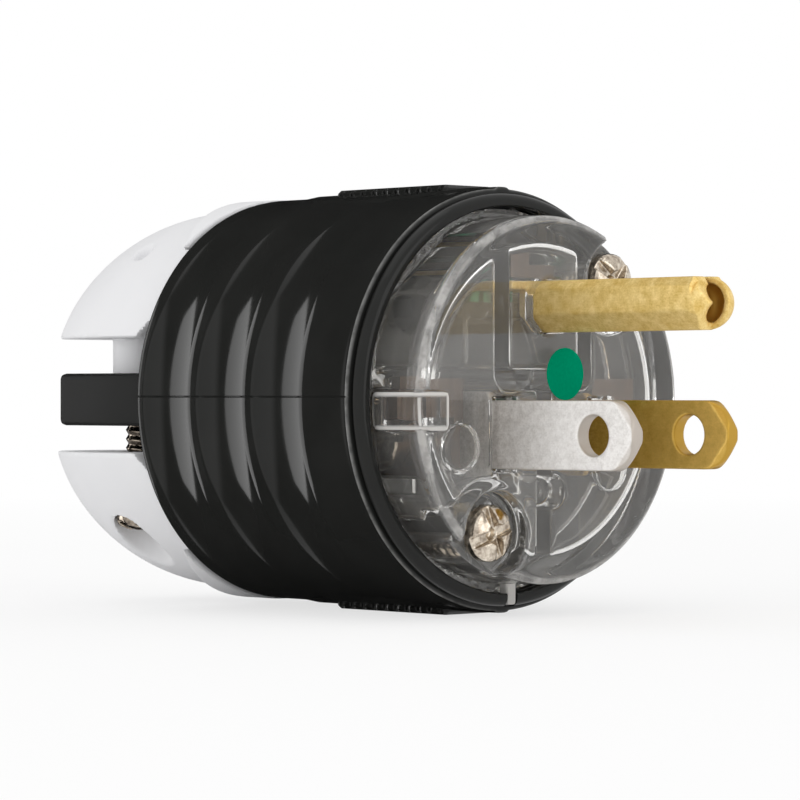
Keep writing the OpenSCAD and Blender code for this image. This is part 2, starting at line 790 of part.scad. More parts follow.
shell();
front_body();
terminal_retainer();
neutral_blade();
hot_blade();
ground_pin();
neutral_clamp_plate();
hot_clamp_plate();
ground_clamp_plate();
neutral_terminal_screw();
hot_terminal_screw();
ground_terminal_screw();
lower_assembly_screw();
upper_assembly_screw();
lower_assembly_insert();
upper_assembly_insert();
upper_jaw();
lower_jaw();
near_clamp_screw();
far_clamp_screw();
near_clamp_insert();
far_clamp_insert();
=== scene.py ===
import json
import math
import bmesh
import bpy
import numpy as np
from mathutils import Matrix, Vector


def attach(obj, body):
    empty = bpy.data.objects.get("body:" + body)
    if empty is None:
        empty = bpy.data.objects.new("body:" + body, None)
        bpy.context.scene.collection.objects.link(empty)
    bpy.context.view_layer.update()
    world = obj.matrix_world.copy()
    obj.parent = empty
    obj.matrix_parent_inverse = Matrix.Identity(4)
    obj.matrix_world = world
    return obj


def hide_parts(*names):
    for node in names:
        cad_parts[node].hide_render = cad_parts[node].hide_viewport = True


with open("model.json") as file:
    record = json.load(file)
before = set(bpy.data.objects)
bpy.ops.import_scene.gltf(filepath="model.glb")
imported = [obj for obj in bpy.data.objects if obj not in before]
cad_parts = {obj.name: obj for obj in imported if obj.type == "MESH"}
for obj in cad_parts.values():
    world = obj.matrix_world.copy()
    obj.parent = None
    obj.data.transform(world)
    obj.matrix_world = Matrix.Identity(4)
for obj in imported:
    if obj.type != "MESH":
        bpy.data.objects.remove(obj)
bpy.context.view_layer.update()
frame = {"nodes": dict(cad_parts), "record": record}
mm = 0.001


# Shader maths: a wrapped socket that takes part in Python expressions
class Flow:
    def __init__(self, tree, socket=None):
        self.tree = tree
        self.socket = socket

    def feed(self, target, value):
        if isinstance(value, Flow):
            self.tree.links.new(value.socket, target)
        else:
            target.default_value = value

    def node(self, kind, settings=None, sockets=None, output=0):
        made = self.tree.nodes.new(kind)
        for key, value in (settings or {}).items():
            setattr(made, key, value)
        for key, value in (sockets or {}).items():
            self.feed(made.inputs[key], value)
        return Flow(self.tree, made.outputs[output])

    def maths(self, operation, a, b):
        return self.node("ShaderNodeMath", {"operation": operation}, {0: a, 1: b})

    def __add__(self, other):
        return self.maths("ADD", self, other)

    def __sub__(self, other):
        return self.maths("SUBTRACT", self, other)

    def __rsub__(self, other):
        return self.maths("SUBTRACT", other, self)

    def __mul__(self, other):
        return self.maths("MULTIPLY", self, other)


def grain(flow, where, size, detail=3.0, rough=0.55):
    return flow.node("ShaderNodeTexNoise", {}, {
        "Vector": where, "Scale": 1 / (size * mm), "Detail": detail, "Roughness": rough}, "Fac")


def spot(flow):
    return flow.node("ShaderNodeTexCoord", {}, {}, "Object")


def stretched(flow, where, factors):
    return flow.node("ShaderNodeVectorMath", {"operation": "MULTIPLY"}, {0: where, 1: factors})


def ramped(flow, value, low, high, toLow, toHigh):
    return flow.node("ShaderNodeMapRange", {}, {
        "Value": value, "From Min": low, "From Max": high, "To Min": toLow, "To Max": toHigh})


def tinted(flow, factor, a, b):
    a, b = (c if isinstance(c, Flow) else c + (1,) for c in (a, b))
    return flow.node("ShaderNodeMix", {"data_type": "RGBA"}, {0: factor, 6: a, 7: b}, 2)


def raised(flow, height, strength, depth):
    return flow.node("ShaderNodeBump", {}, {
        "Strength": strength, "Distance": depth * mm, "Height": height}, "Normal")


def makeFinish(name, recipe, settings):
    material = bpy.data.materials.new(name)
    material.use_nodes = True
    shader = material.node_tree.nodes["Principled BSDF"]
    flow = Flow(material.node_tree)
    for key, value in settings.items():
        shader.inputs[key].default_value = value
    for key, value in recipe(flow).items():
        flow.feed(shader.inputs[key], value)
    return material


# Moulded black nylon: glossy, with a fine grain, darker and rougher from its rear edge backwards, and a
# painted highlight line round the rim's lip
shellLook = {
    "tones": ((0.013, 0.0133, 0.0125), (0.02, 0.0203, 0.0192)), "rough": (0.07, 0.11),
    # These three keys place, size and colour the painted highlight line round the rim's lip
    "lipGlintAt": -0.00691, "lipGlintHalf": 0.00016, "lipGlintTone": (0.17, 0.17, 0.165),
    "dullFrom": (-0.0373, -0.0367), "dull": 0.5, "dullTone": (0.007, 0.0072, 0.0067),
    "fine": 0.16, "broad": 6.0, "glintBreakup": 1.3,
}


def shellRecipe(flow):
    where = spot(flow)
    fine = grain(flow, where, shellLook["fine"], 2)
    broad = grain(flow, where, shellLook["broad"], 3)
    along = flow.node("ShaderNodeSeparateXYZ", {}, {0: where}, "X")
    away = flow.maths("ABSOLUTE", along - shellLook["lipGlintAt"], 0.0)
    wearAndGlintNoise = ramped(flow, grain(flow, where, shellLook["glintBreakup"], 3), 0.3, 0.6, 0.35, 1.0)
    # Painted highlight: a thin light-grey line painted round the lip of the rim, broken up by noise
    lipGlintMask = ramped(flow, away, shellLook["lipGlintHalf"] * 0.5, shellLook["lipGlintHalf"], 1.0, 0.0) * wearAndGlintNoise
    # Darker and rougher from the rear edge backwards, posts included
    dull = ramped(flow, along, *shellLook["dullFrom"], 1.0, 0.0)
    black = tinted(flow, broad, *shellLook["tones"])
    black = tinted(flow, dull, black, shellLook["dullTone"])
    return {
        "Base Color": tinted(flow, lipGlintMask, black, shellLook["lipGlintTone"]),
        "Roughness": ramped(flow, broad, 0.3, 0.7, *shellLook["rough"]) + dull * shellLook["dull"],
        "Normal": raised(flow, fine, 0.1, 0.01),
    }


# Moulded white nylon
jawLook = {
    "tones": ((0.79, 0.79, 0.805), (0.84, 0.84, 0.85)), "rough": (0.45, 0.55), "fine": 0.2, "broad": 9.0,
}


def jawRecipe(flow):
    where = spot(flow)
    fine = grain(flow, where, jawLook["fine"], 2)
    broad = grain(flow, where, jawLook["broad"], 3)
    return {
        "Base Color": tinted(flow, broad, *jawLook["tones"]),
        "Roughness": ramped(flow, broad, 0.3, 0.7, *jawLook["rough"]),
        "Normal": raised(flow, fine, 0.1, 0.01),
    }


# Rolled and plated strip: mottled, with faint lines along the blade. It may be darker towards a root,
# carry painted shade on the faces turned away from its flat sides, or painted shade inside a hollow of some
# radius about a point
def stripRecipe(dark, light, roughLow, roughHigh, mottle=1.1, root=None, edge=None, hollowShade=None):
    def recipe(flow):
        where = spot(flow)
        lines = grain(flow, stretched(flow, where, (0.12, 1.0, 1.0)), 0.12, 2)
        mottled = grain(flow, where, mottle, 5, 0.65)
        speck = grain(flow, where, 0.2, 2)
        share = ramped(flow, mottled * 0.6 + speck * 0.25 + lines * 0.15, 0.36, 0.64, 0.0, 1.0)
        if root:
            along = flow.node("ShaderNodeSeparateXYZ", {}, {0: where}, "X")
            share = share * 0.45 + ramped(flow, along, root[0] * mm, root[1] * mm, 0.0, 0.6)
        colour = tinted(flow, share, dark, light)
        # Painted shade: faces turned away from the flat sides take a darker colour, by their object-space
        # normal
        if edge:
            normal = flow.node("ShaderNodeTexCoord", {}, {}, "Normal")
            side = flow.node("ShaderNodeSeparateXYZ", {}, {0: normal}, "Y")
            facing = flow.maths("ABSOLUTE", side, 0.0)
            colour = tinted(flow, ramped(flow, facing, 0.6, 0.93, 1.0, 0.0), colour, edge)
        # Painted shade: a darker colour inside a hollow, within a radius of a point
        if hollowShade:
            centre, radius, tone = hollowShade
            middle = [c * mm for c in centre]
            offset = flow.node("ShaderNodeVectorMath", {"operation": "SUBTRACT"}, {0: where, 1: middle})
            beyond = flow.node("ShaderNodeVectorMath", {"operation": "MAXIMUM"}, {0: offset, 1: (0, -1, -1)})
            away = flow.node("ShaderNodeVectorMath", {"operation": "LENGTH"}, {0: beyond}, "Value")
            inside = ramped(flow, away, (radius - 0.1) * mm, radius * mm, 1.0, 0.0)
            colour = tinted(flow, inside, colour, tone)
        return {
            "Base Color": colour,
            "Roughness": ramped(flow, mottled * 0.6 + speck * 0.4, 0.35, 0.65, roughHigh, roughLow),
            "Normal": raised(flow, speck * 0.7 + lines * 0.3, 0.16, 0.02),
        }
    return recipe


# Plated screws: turned, with a few worn places
def screwRecipe(dark, light):
    def recipe(flow):
        where = spot(flow)
        wearAndGlintNoise = grain(flow, where, 0.7, 4, 0.6)
        return {
            "Base Color": tinted(flow, ramped(flow, wearAndGlintNoise, 0.35, 0.65, 0.0, 1.0), dark, light),
            "Roughness": ramped(flow, wearAndGlintNoise, 0.3, 0.7, 0.12, 0.22),
            "Normal": raised(flow, grain(flow, where, 0.15, 2), 0.12, 0.01),
        }
    return recipe


# Printed ink
inkLook = {"tones": ((0.0, 0.242, 0.126), (0.0, 0.273, 0.144)), "rough": (0.42, 0.55), "fine": 0.3}


def inkRecipe(flow):
    where = spot(flow)
    fine = grain(flow, where, inkLook["fine"], 3)
    return {
        "Base Color": tinted(flow, ramped(flow, fine, 0.35, 0.65, 0, 1), *inkLook["tones"]),
        "Roughness": ramped(flow, fine, 0.3, 0.7, *inkLook["rough"]),
    }


# Clear polycarbonate: light passes, with a thin haze and a painted highlight on its edges; shadows of it are
# left to pass too
clearLook = {
    "haze": (0.042, 0.092), "hazeTone": (0.76, 0.745, 0.72, 1), "shade": 0.82,
    "tints": ((0.97, 0.965, 0.95), (0.93, 0.925, 0.905)), "rough": (0.0, 0.025),
    "noseRim": (16.48, 16.64), "noseHighlight": 0.5, "lugHighlight": 0.8, "lugFrom": (-6.6, -6.4), "lugMid": -1.0,
    "lugSide": (17.34, 17.42), "lugFace": (0.03, 0.1), "lugRim": (1.2, 1.5), "lugBack": (-5.5, -5.8),
    "lugIn": (-14.4, -14.1), "lugFold": (17.76, 17.82), "broad": 5.0, "glintBreakup": 2.2, "ior": 1.5,
}


# Painted highlight: white painted along the nose's front edge and round the lug, where the clear edges would
# catch light
def paintedEdgeHighlight(flow, where):
    look = clearLook
    x, y, z = (flow.node("ShaderNodeSeparateXYZ", {}, {0: where}, axis) for axis in "XYZ")
    flat = stretched(flow, where, (0, 1, 1))
    rho = flow.node("ShaderNodeVectorMath", {"operation": "LENGTH"}, {0: flat}, "Value")

    def zone(value, key):
        return ramped(flow, value, *(v * mm for v in look[key]), 0.0, 1.0)

    def largest(first, *others):
        for other in others:
            first = flow.maths("MAXIMUM", first, other)
        return first

    away = flow.maths("ABSOLUTE", z - look["lugMid"] * mm, 0.0)
    onLug = largest(zone(rho, "lugSide"), zone(x, "lugFace")) * zone(x, "lugFrom")
    rims = largest(zone(away, "lugRim"), zone(x, "lugBack"), zone(y, "lugIn"), zone(rho + x, "lugFold"))
    # Noise breaks up the painted highlight along the nose
    wearAndGlintNoise = ramped(flow, grain(flow, where, look["glintBreakup"], 3), 0.38, 0.62, 0.35, 1.0)
    nose = zone(rho + x, "noseRim") * (1 - onLug) * wearAndGlintNoise
    return largest(nose * look["noseHighlight"], onLug * rims * look["lugHighlight"])


def makeClear(name):
    material = bpy.data.materials.new(name)
    material.use_nodes = True
    tree = material.node_tree
    flow = Flow(tree)
    shader = tree.nodes["Principled BSDF"]
    for key, value in {"Transmission Weight": 1.0, "IOR": clearLook["ior"]}.items():
        shader.inputs[key].default_value = value
    where = spot(flow)
    broad = grain(flow, where, clearLook["broad"], 4)
    flow.feed(shader.inputs["Base Color"], tinted(flow, broad, *clearLook["tints"]))
    flow.feed(shader.inputs["Roughness"], ramped(flow, broad, 0.3, 0.7, *clearLook["rough"]))
    haze = flow.node("ShaderNodeBsdfDiffuse", {}, {"Color": clearLook["hazeTone"]})
    hazeAndHighlight = ramped(flow, broad, 0.3, 0.7, *clearLook["haze"])
    # The haze is raised to the painted highlight's share where that is larger
    hazeAndHighlight = flow.maths("MAXIMUM", hazeAndHighlight, paintedEdgeHighlight(flow, where))
    hazy = flow.node("ShaderNodeMixShader", {}, {0: hazeAndHighlight, 1: Flow(tree, shader.outputs[0]), 2: haze})
    through = flow.node("ShaderNodeBsdfTransparent", {}, {"Color": (clearLook["shade"],) * 3 + (1,)})
    isShadow = flow.node("ShaderNodeLightPath", {}, {}, "Is Shadow Ray")
    final = flow.node("ShaderNodeMixShader", {}, {0: isShadow, 1: hazy, 2: through})
    flow.feed(tree.nodes["Material Output"].inputs["Surface"], final)
    return material


finishes = {
    "black_shell": makeFinish("shellNylon", shellRecipe, {"Specular IOR Level": 0.15}),
    "white_jaw": makeFinish("jawNylon", jawRecipe, {"Specular IOR Level": 0.05}),
    # The nickel plate carries painted shade on its edges
    "nickel_plate": makeFinish(
        "nickelPlate", stripRecipe(
            (0.42, 0.385, 0.35), (0.99, 0.965, 0.935), 0.36, 0.5, 0.8, (0.0, 8.0), (0.5, 0.45, 0.4)),
        {"Metallic": 0.45, "Specular IOR Level": 0.2}),
    "brass": makeFinish(
        "brassStrip", stripRecipe((0.66, 0.46, 0.17), (0.95, 0.74, 0.36), 0.42, 0.56), {"Metallic": 0.8}),
    "bronze": makeFinish(
        "bronzeStrip", stripRecipe((0.07, 0.05, 0.035), (0.15, 0.10, 0.07), 0.35, 0.5), {"Metallic": 1.0}),
    "screw_steel": makeFinish(
        "screwPlate", screwRecipe((0.30, 0.245, 0.19), (0.74, 0.66, 0.55)), {"Metallic": 1.0}),
    "green_screw": makeFinish(
        "greenScrew", screwRecipe((0.03, 0.22, 0.11), (0.06, 0.38, 0.2)), {"Metallic": 0.8}),
    "clear_body": makeClear("clearBody"),
}
# Painted shade: a darker copy of the screw plate for the clamp screws, which sit in counterbores
clampScrewPlate = makeFinish(
    "clampScrewPlate", screwRecipe((0.13, 0.105, 0.085), (0.5, 0.43, 0.35)), {"Metallic": 1.0})
# Painted shade: a darker copy of the brass for the hot blade, with painted shade on its edges too
hotBrassShaded = makeFinish(
    "hotBrassShaded", stripRecipe(
        (0.4, 0.235, 0.03), (0.84, 0.56, 0.15), 0.32, 0.46, root=(4.0, 16.0), edge=(0.5, 0.3, 0.05)),
    {"Metallic": 0.65, "Specular IOR Level": 0.1})
# The pin's brass carries painted shade inside its hollow nose
pinBrass = makeFinish(
    "pinBrass", stripRecipe(
        (0.64, 0.42, 0.1), (0.97, 0.75, 0.33), 0.42, 0.56,
        hollowShade=((19.3, 0.35, 8.7), 1.88, (0.56, 0.33, 0.06))),
    {"Metallic": 0.6, "Specular IOR Level": 0.1})
dotInk = makeFinish("dotInk", inkRecipe, {"Specular IOR Level": 0.0})
print("finishes made")


# Solid shapes as signed distances in millimetres, joined with rounded edges
def both(a, b, r=0.0):
    if r <= 0:
        return np.maximum(a, b)
    u = a + r
    v = b + r
    return np.minimum(np.maximum(u, v), 0) + np.hypot(np.maximum(u, 0), np.maximum(v, 0)) - r


def either(a, b, r=0.0):
    return -both(-a, -b, r)


def less(a, b, r=0.0):
    return both(a, -b, r)


def span(v, low, high):
    return np.abs(v - (low + high) / 2) - (high - low) / 2


def rod(u, v, cu, cv, r):
    return np.hypot(u - cu, v - cv) - r


def slab(a, b, r):
    u = np.maximum(a + r, 0)
    v = np.maximum(b + r, 0)
    return np.hypot(u, v) + np.minimum(np.maximum(a, b) + r, 0) - r


# Skins the zero level of a field with quads, then settles each point on it
def skin(field, low, high, step):
    counts = [int(math.ceil((b - a) / step)) + 1 for a, b in zip(low, high)]
    lines = [a + step * np.arange(n) for a, n in zip(low, counts)]
    value = field(*np.meshgrid(*lines, indexing="ij"))
    nx, ny, nz = value.shape
    total = np.zeros((nx - 1, ny - 1, nz - 1, 3))
    hits = np.zeros((nx - 1, ny - 1, nz - 1))
    for axis in range(3):
        others = [n for n in range(3) if n != axis]
        for p in (0, 1):
            for q in (0, 1):
                start = [0, 0, 0]
                start[others[0]], start[others[1]] = p, q
                end = list(start)
                end[axis] = 1
                a, b = (value[tuple(slice(s, s + n - 1) for s, n in zip(c, value.shape))]
                        for c in (start, end))
                cross = (a < 0) != (b < 0)
                along = np.where(cross, a / np.where(cross, a - b, 1), 0)
                hits += cross
                for n in range(3):
                    total[..., n] += np.where(cross, along if n == axis else start[n], 0)
    active = hits > 0
    index = np.full(active.shape, -1)
    index[active] = np.arange(active.sum())
    cells = np.argwhere(active)
    points = np.array(low) + step * (cells + total[active] / hits[active][:, None])
    reach = 0.01
    for settling in range(3):
        level = field(*points.T)
        slope = np.stack([
            (field(*(points + h).T) - field(*(points - h).T)) / (2 * reach)
            for h in np.eye(3) * reach], axis=1)
        move = level[:, None] * slope / np.maximum((slope ** 2).sum(1), 0.05)[:, None]
        points -= np.clip(move, -step / 2, step / 2)
    faces = []
    inside = value < 0
    for axis in range(3):
        u, v = (axis + 1) % 3, (axis + 2) % 3
        a = np.moveaxis(inside, (axis, u, v), (0, 1, 2))
        ids = np.moveaxis(index, (axis, u, v), (0, 1, 2))
        change = a[:-1, 1:-1, 1:-1] != a[1:, 1:-1, 1:-1]
        i, j, k = np.nonzero(change)
        ring = np.stack([ids[i, j, k], ids[i, j + 1, k], ids[i, j + 1, k + 1], ids[i, j, k + 1]], axis=1)
        outward = a[:-1, 1:-1, 1:-1][i, j, k]
        faces.append(np.where(outward[:, None], ring, ring[:, ::-1]))
    return points, np.concatenate(faces)


# Turns a profile of (place along the axis, radius) into a closed ring of quads about +X
def turn(profile, steps=48, centre=(0, 0)):
    points = []
    faces = []
    n = len(profile)
    for s in range(steps):
        a = 2 * math.pi * s / steps
        points += [(x, centre[0] + r * math.cos(a), centre[1] + r * math.sin(a)) for x, r in profile]
    for s in range(steps):
        for i in range(n):
            j = (i + 1) % n
            t = (s + 1) % steps
            faces.append((s * n + i, t * n + i, t * n + j, s * n + j))
    return points, faces


# A box with rounded edges
def softBox(low, high, r, segments=3):
    bm = bmesh.new()
    bmesh.ops.create_cube(bm, size=1)
    for v in bm.verts:
        v.co = Vector([a + (b - a) * (c + 0.5) for a, b, c in zip(low, high, v.co)])
    bmesh.ops.bevel(bm, geom=bm.edges[:], offset=r, segments=segments, profile=0.5, affect="EDGES")
    bm.verts.index_update()
    points = [tuple(v.co) for v in bm.verts]
    faces = [tuple(v.index for v in f.verts) for f in bm.faces]
    bm.free()
    return points, faces


def together(*parts):
    points = []
    faces = []
    for p, f in parts:
        start = len(points)
        points += [tuple(v) for v in p]
        faces += [tuple(int(i) + start for i in face) for face in f]
    return points, faces


# Makes a piece from points in millimetres and sets it on its body
def setPiece(name, shape, slot, body, stands=(), sharp=32, weld=True, material=None):
    mesh = bpy.data.meshes.new(name)
    mesh.from_pydata([tuple(c * mm for c in p) for p in shape[0]], [], [tuple(f) for f in shape[1]])
    bm = bmesh.new()
    bm.from_mesh(mesh)
    if weld:
        bmesh.ops.remove_doubles(bm, verts=bm.verts, dist=2e-6)
        bmesh.ops.dissolve_degenerate(bm, edges=bm.edges, dist=1e-6)
        bmesh.ops.recalc_face_normals(bm, faces=bm.faces)
    for face in bm.faces:
        face.smooth = True
    for edge in bm.edges:
        if edge.is_manifold and edge.calc_face_angle() > math.radians(sharp):
            edge.smooth = False
    bm.to_mesh(mesh)
    bm.free()
    mesh.materials.append(material or finishes[slot])
    piece = bpy.data.objects.new(name, mesh)
    bpy.context.scene.collection.objects.link(piece)
    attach(piece, body)
    if stands:
        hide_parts(*stands)
    triangles = sum(len(p.vertices) - 2 for p in mesh.polygons)
    print("made", name, len(mesh.vertices), "points", triangles, "triangles")


# How skinned pieces are shaded and kept
skinned = {"sharp": 50, "weld": False}


# The black shell: grooved grip, rim bead, pads and posts
shell = {
    "r": 20.0, "rear": -37.2, "front": -5.4, "rearEdge": 0.5,
    "grooves": (-32.6, -24.6, -16.6), "grooveDepth": 0.4, "grooveRing": 14.65, "grooveEnd": 75,
    "grooveHalf": (0.6, 3.96), "ridgeRows": 4, "grooveRows": 20, "endRows": 14, "edgeRows": 5, "beadRows": 8,
    "swell": 0.2, "swellMid": -19.7, "swellRing": 16.25, "swellHalf": 6.5, "swellSoft": 0.5,
    "notch": (-33.3, -32.4), "notchDepth": 0.35, "notchHalf": 1.6,
    "seamZ": 0.3, "seamDepth": 0.07, "seamHalf": 0.1,
    "gripEnd": -7.3, "lip": 0.09, "lipCurve": ((-7.1, 0.6), (-6.95, 1.0), (-6.82, 0.7)), "lipDrop": 0.1,
    "gapR": 19.2, "gapEdge": 0.06, "gapRear": (-6.76, -6.72, -6.66), "gapFront": (-6.56, -6.5, -6.46),
    "beadR": 0.9, "beadMid": 18.7, "beadFoot": (19.5, 19.6), "beadBack": 0.08,
    "seatR": 18.3, "seat": -9.4, "seatEdge": 0.12, "bore": 17.0, "boreEdge": 0.1, "wall": -34.7,
    "cordHole": 9.5, "inner": 0.4, "keyHalf": 0.7, "keyR": 19.6, "keyBack": 0.18, "keyRoom": 0.05,
    "columns": 288, "padColumns": 36, "seamColumns": (-1.4, -1, -0.5, 0, 0.5, 1, 1.4),
    "pad": ((-26.7, -11.2), 3.2, 20.5), "padCorner": 0.4, "padEnd": 20.15, "padFoot": 18.6,
    "padTooth": 1.55, "padGroove": 0.5, "padCut": (19.9, 20.36, 0.3),
    "padBox": ((-27.1, -3.6, 18.9), (-10.8, 3.6, 20.9)), "padStep": 0.12,
    "postX": (-52.2, -34.0), "postY": (15.4, 17.8), "postZ": 2.6, "postSoft": 0.6,
}


def grooveDrop(phi):
    end = math.cos(math.radians(shell["grooveEnd"]))
    return shell["grooveDepth"] * (abs(math.cos(phi)) - end) / (1 - end)


def gripRadius(x, phi):
    r = shell["r"]
    drop = grooveDrop(phi)
    ring = shell["grooveRing"]
    if drop > 0:
        for c in shell["grooves"]:
            if abs(x - c) < ring:
                r = min(r, shell["r"] - drop + ring - math.sqrt(ring ** 2 - (x - c) ** 2))
    across = abs(shell["r"] * math.cos(phi))
    along = abs(x - shell["swellMid"])
    if along < shell["swellRing"]:
        half = math.sqrt(shell["swellRing"] ** 2 - along ** 2) - shell["swellRing"] + shell["swellHalf"]
        t = min(max((half - across) / shell["swellSoft"] + 0.5, 0), 1)
        r += shell["swell"] * t * t * (3 - 2 * t)
    if shell["notch"][0] < x < shell["notch"][1] and across < shell["notchHalf"]:
        r -= shell["notchDepth"]
    z = shell["r"] * math.sin(phi)
    seam = abs(z - shell["seamZ"]) / shell["seamHalf"]
    if seam < 1:
        r -= shell["seamDepth"] * (1 - seam)
    return r


def shellColumn(phi, inKey):
    s = shell
    drop = grooveDrop(phi)
    half = math.sqrt(s["grooveRing"] ** 2 - (s["grooveRing"] - drop) ** 2) if drop > 0 else 0
    half = min(max(half, s["grooveHalf"][0]), s["grooveHalf"][1])
    xs = [s["rear"] + s["rearEdge"]]
    stretches = []
    for c in s["grooves"]:
        stretches += [(c - half, s["ridgeRows"]), (c + half, s["grooveRows"])]
    for end, count in stretches + [(s["gripEnd"], s["endRows"])]:
        begin = xs[-1]
        xs += [begin + (end - begin) * i / count for i in range(1, count + 1)]
    e = s["rearEdge"]
    rows = s["edgeRows"]
    rRear = gripRadius(xs[0], phi)
    column = [(s["rear"] + e * (1 - math.sin(a)), rRear - e * (1 - math.cos(a)))
              for a in [math.pi / 2 * (1 - i / rows) for i in range(rows)]]
    column += [(x, gripRadius(x, phi)) for x in xs]
    rLip = gripRadius(s["gripEnd"], phi) - s["lip"]
    column += [(x, rLip + s["lip"] * share) for x, share in s["lipCurve"]]
    gapTop = s["gapR"] + s["gapEdge"]
    column += zip(s["gapRear"], (rLip - s["lipDrop"], gapTop, s["gapR"]))
    beadX = s["front"] - s["beadR"]
    footLow, footHigh = s["beadFoot"]
    rim = [*zip(s["gapFront"], (s["gapR"], gapTop, footLow)), (beadX - s["beadBack"], footHigh)]
    rows = s["beadRows"]
    rim += [(beadX + s["beadR"] * math.sin(a), s["beadMid"] + s["beadR"] * math.cos(a))
            for a in [math.pi / 2 * i / rows for i in range(rows + 1)]]
    e = s["seatEdge"]
    rim += [(s["front"], s["seatR"] + e), (s["front"] - e, s["seatR"]), (s["seat"], s["seatR"])]
    if inKey:
        rim = [(beadX - s["keyBack"], s["keyR"])] * (len(rim) - 1) + [(s["seat"], s["keyR"])]
    column += rim
    e = s["boreEdge"]
    column += [(s["seat"], s["bore"] + e), (s["seat"] - e, s["bore"]), (s["wall"], s["bore"]),
               (s["wall"], s["cordHole"] + s["inner"]), (s["wall"] - s["inner"], s["cordHole"]),
               (s["rear"] + s["inner"], s["cordHole"]), (s["rear"], s["cordHole"] + s["inner"])]
    return column


def shellSkin():
    between = 360 / shell["columns"]
    angles = {round(i * between, 4) for i in range(shell["columns"])}
    near = shell["padColumns"]
    for top in (90, 270):
        angles |= {round(top + i * between / 2, 4) for i in range(-near, near + 1)}
    tilt = math.degrees(math.asin(shell["seamZ"] / shell["r"]))
    step = math.degrees(shell["seamHalf"] / shell["r"])
    for mid in (tilt, 180 - tilt):
        angles |= {round((mid + i * step) % 360, 4) for i in shell["seamColumns"]}
    keyTurn = math.degrees(math.asin(shell["keyHalf"] / shell["keyR"]))
    room = shell["keyRoom"]
    stops = [(a, abs(a - 270) < keyTurn) for a in angles if abs(abs(a - 270) - keyTurn) > room]
    for side in (-1, 1):
        stops += [(270 + side * keyTurn, False), (270 + side * keyTurn, True)]
    stops.sort(key=lambda s: (s[0], s[1] if s[0] < 270 else not s[1]))
    points = []
    faces = []
    for a, inKey in stops:
        phi = math.radians(a)
        column = shellColumn(phi, inKey)
        n = len(column)
        points += [(x, r * math.cos(phi), r * math.sin(phi)) for x, r in column]
    count = len(stops)
    for s in range(count):
        t = (s + 1) % count
        for i in range(n):
            j = (i + 1) % n
            faces.append((s * n + i, t * n + i, t * n + j, s * n + j))
    return points, faces


# A pad's edges carry a row of short teeth
def padField(x, y, z):
    (x0, x1), half, top = shell["pad"]
    outline = both(span(x, x0, x1), np.abs(y) - half, shell["padCorner"])
    bevel = (outline + z - shell["padEnd"]) * math.sqrt(0.5)
    body = both(both(outline, span(z, shell["padFoot"], top), 0.08), bevel, 0.05)
    tooth = np.abs((x - x0) % shell["padTooth"] - shell["padTooth"] / 2) - shell["padGroove"] / 2
    low, high, deep = shell["padCut"]
    cut = both(both(tooth, -deep - outline), span(z, low, high))
    return less(body, cut, 0.05)


def flipped(shape, axis):
    points = [tuple(-c if i == axis else c for i, c in enumerate(p)) for p in shape[0]]
    return points, [tuple(reversed(tuple(f))) for f in shape[1]]


# A boss that holds an insert, closed at its back
boss = {
    "r": 3.91, "hole": 2.81, "screw": 1.95, "back": -34.8, "front": -19.6, "seat": -27.6, "bottom": -28.6,
    "edge": 0.15, "holeEdge": 0.1, "core": 0.05, "steps": 40,
}


def bossShape(y, z):
    b = boss
    return turn([(b["back"], b["r"]), (b["front"] - b["edge"], b["r"]), (b["front"], b["r"] - b["edge"]),
                 (b["front"], b["hole"] + b["holeEdge"]), (b["front"] - b["holeEdge"], b["hole"]),
                 (b["seat"], b["hole"]), (b["seat"], b["screw"]), (b["bottom"], b["screw"]),
                 (b["bottom"], b["core"]), (b["back"], b["core"])], b["steps"], (y, z))


screwSpots = {"lower_assembly_screw": (-7.258, -12.321), "upper_assembly_screw": (8.804, 11.269)}


def makeShell():
    pad = skin(padField, *shell["padBox"], shell["padStep"])
    posts = []
    (x0, x1), (y0, y1), h = shell["postX"], shell["postY"], shell["postZ"]
    for side in (-1, 1):
        ys = sorted((side * y0, side * y1))
        posts.append(softBox((x0, ys[0], -h), (x1, ys[1], h), shell["postSoft"]))
    bosses = [bossShape(*p) for p in screwSpots.values()]
    shape = together(shellSkin(), pad, flipped(pad, 2), *posts, *bosses)
    setPiece("shellGrip", shape, "black_shell", "plug_body", ["shell"], sharp=24)


makeShell()


# The clear front body
front = {
    "noseR": 17.3, "noseEdge": 1.0, "noseBack": -8.5, "flangeR": 18.1, "flange": (-9.35, -7.0),
    "skirtR": 16.8, "skirt": (-17.34, -8.0), "slotBack": -4.0,
    "bayR": 14.8, "plate": 2.2, "bayEdge": 0.9, "sideFlat": (130, 16.55, (-6.9, -1.3)),
    "rings": ((-11.15, -4.37, 2.3), (8.6, -6.5, 2.2)), "ringTop": -1.25, "peg": (1.3, -8.6, 1.5, -6.5),
    "rib": 0.9, "bayHalf": 4.6, "ribHalf": 6.4, "bayFloor": 0.95, "groundFloor": 2.75, "ribCorner": 1.5,
    "columnR": 5.0, "columnEnd": -4.8, "bossR": 3.91, "pocketR": 3.9, "pocketDepth": 2.0, "holeR": 1.95,
    "bladeY": 6.35, "bladeZ": -3.2, "slotHalf": (0.91, 3.325), "groundZ": 8.7, "groundSlot": 2.55,
    "lugX": (-6.1, 0.4), "lugIn": -13.7, "lugZ": (-2.7, 0.7), "lugR": 17.7, "lugEdge": 0.45,
    "key": ((-9.3, -5.5), 0.6, (-19.4, -16.5)), "soft": 0.35, "step": 0.3,
    "recess": (1.62, 3.55, 0.7), "box": ((-18.0, -18.9, -19.5), (1.2, 18.9, 18.9)),
}


def octagon(y, z, half):
    a = np.abs(y)
    b = np.abs(z)
    return np.maximum(np.maximum(a, b), (a + b) * math.sqrt(0.5)) - half


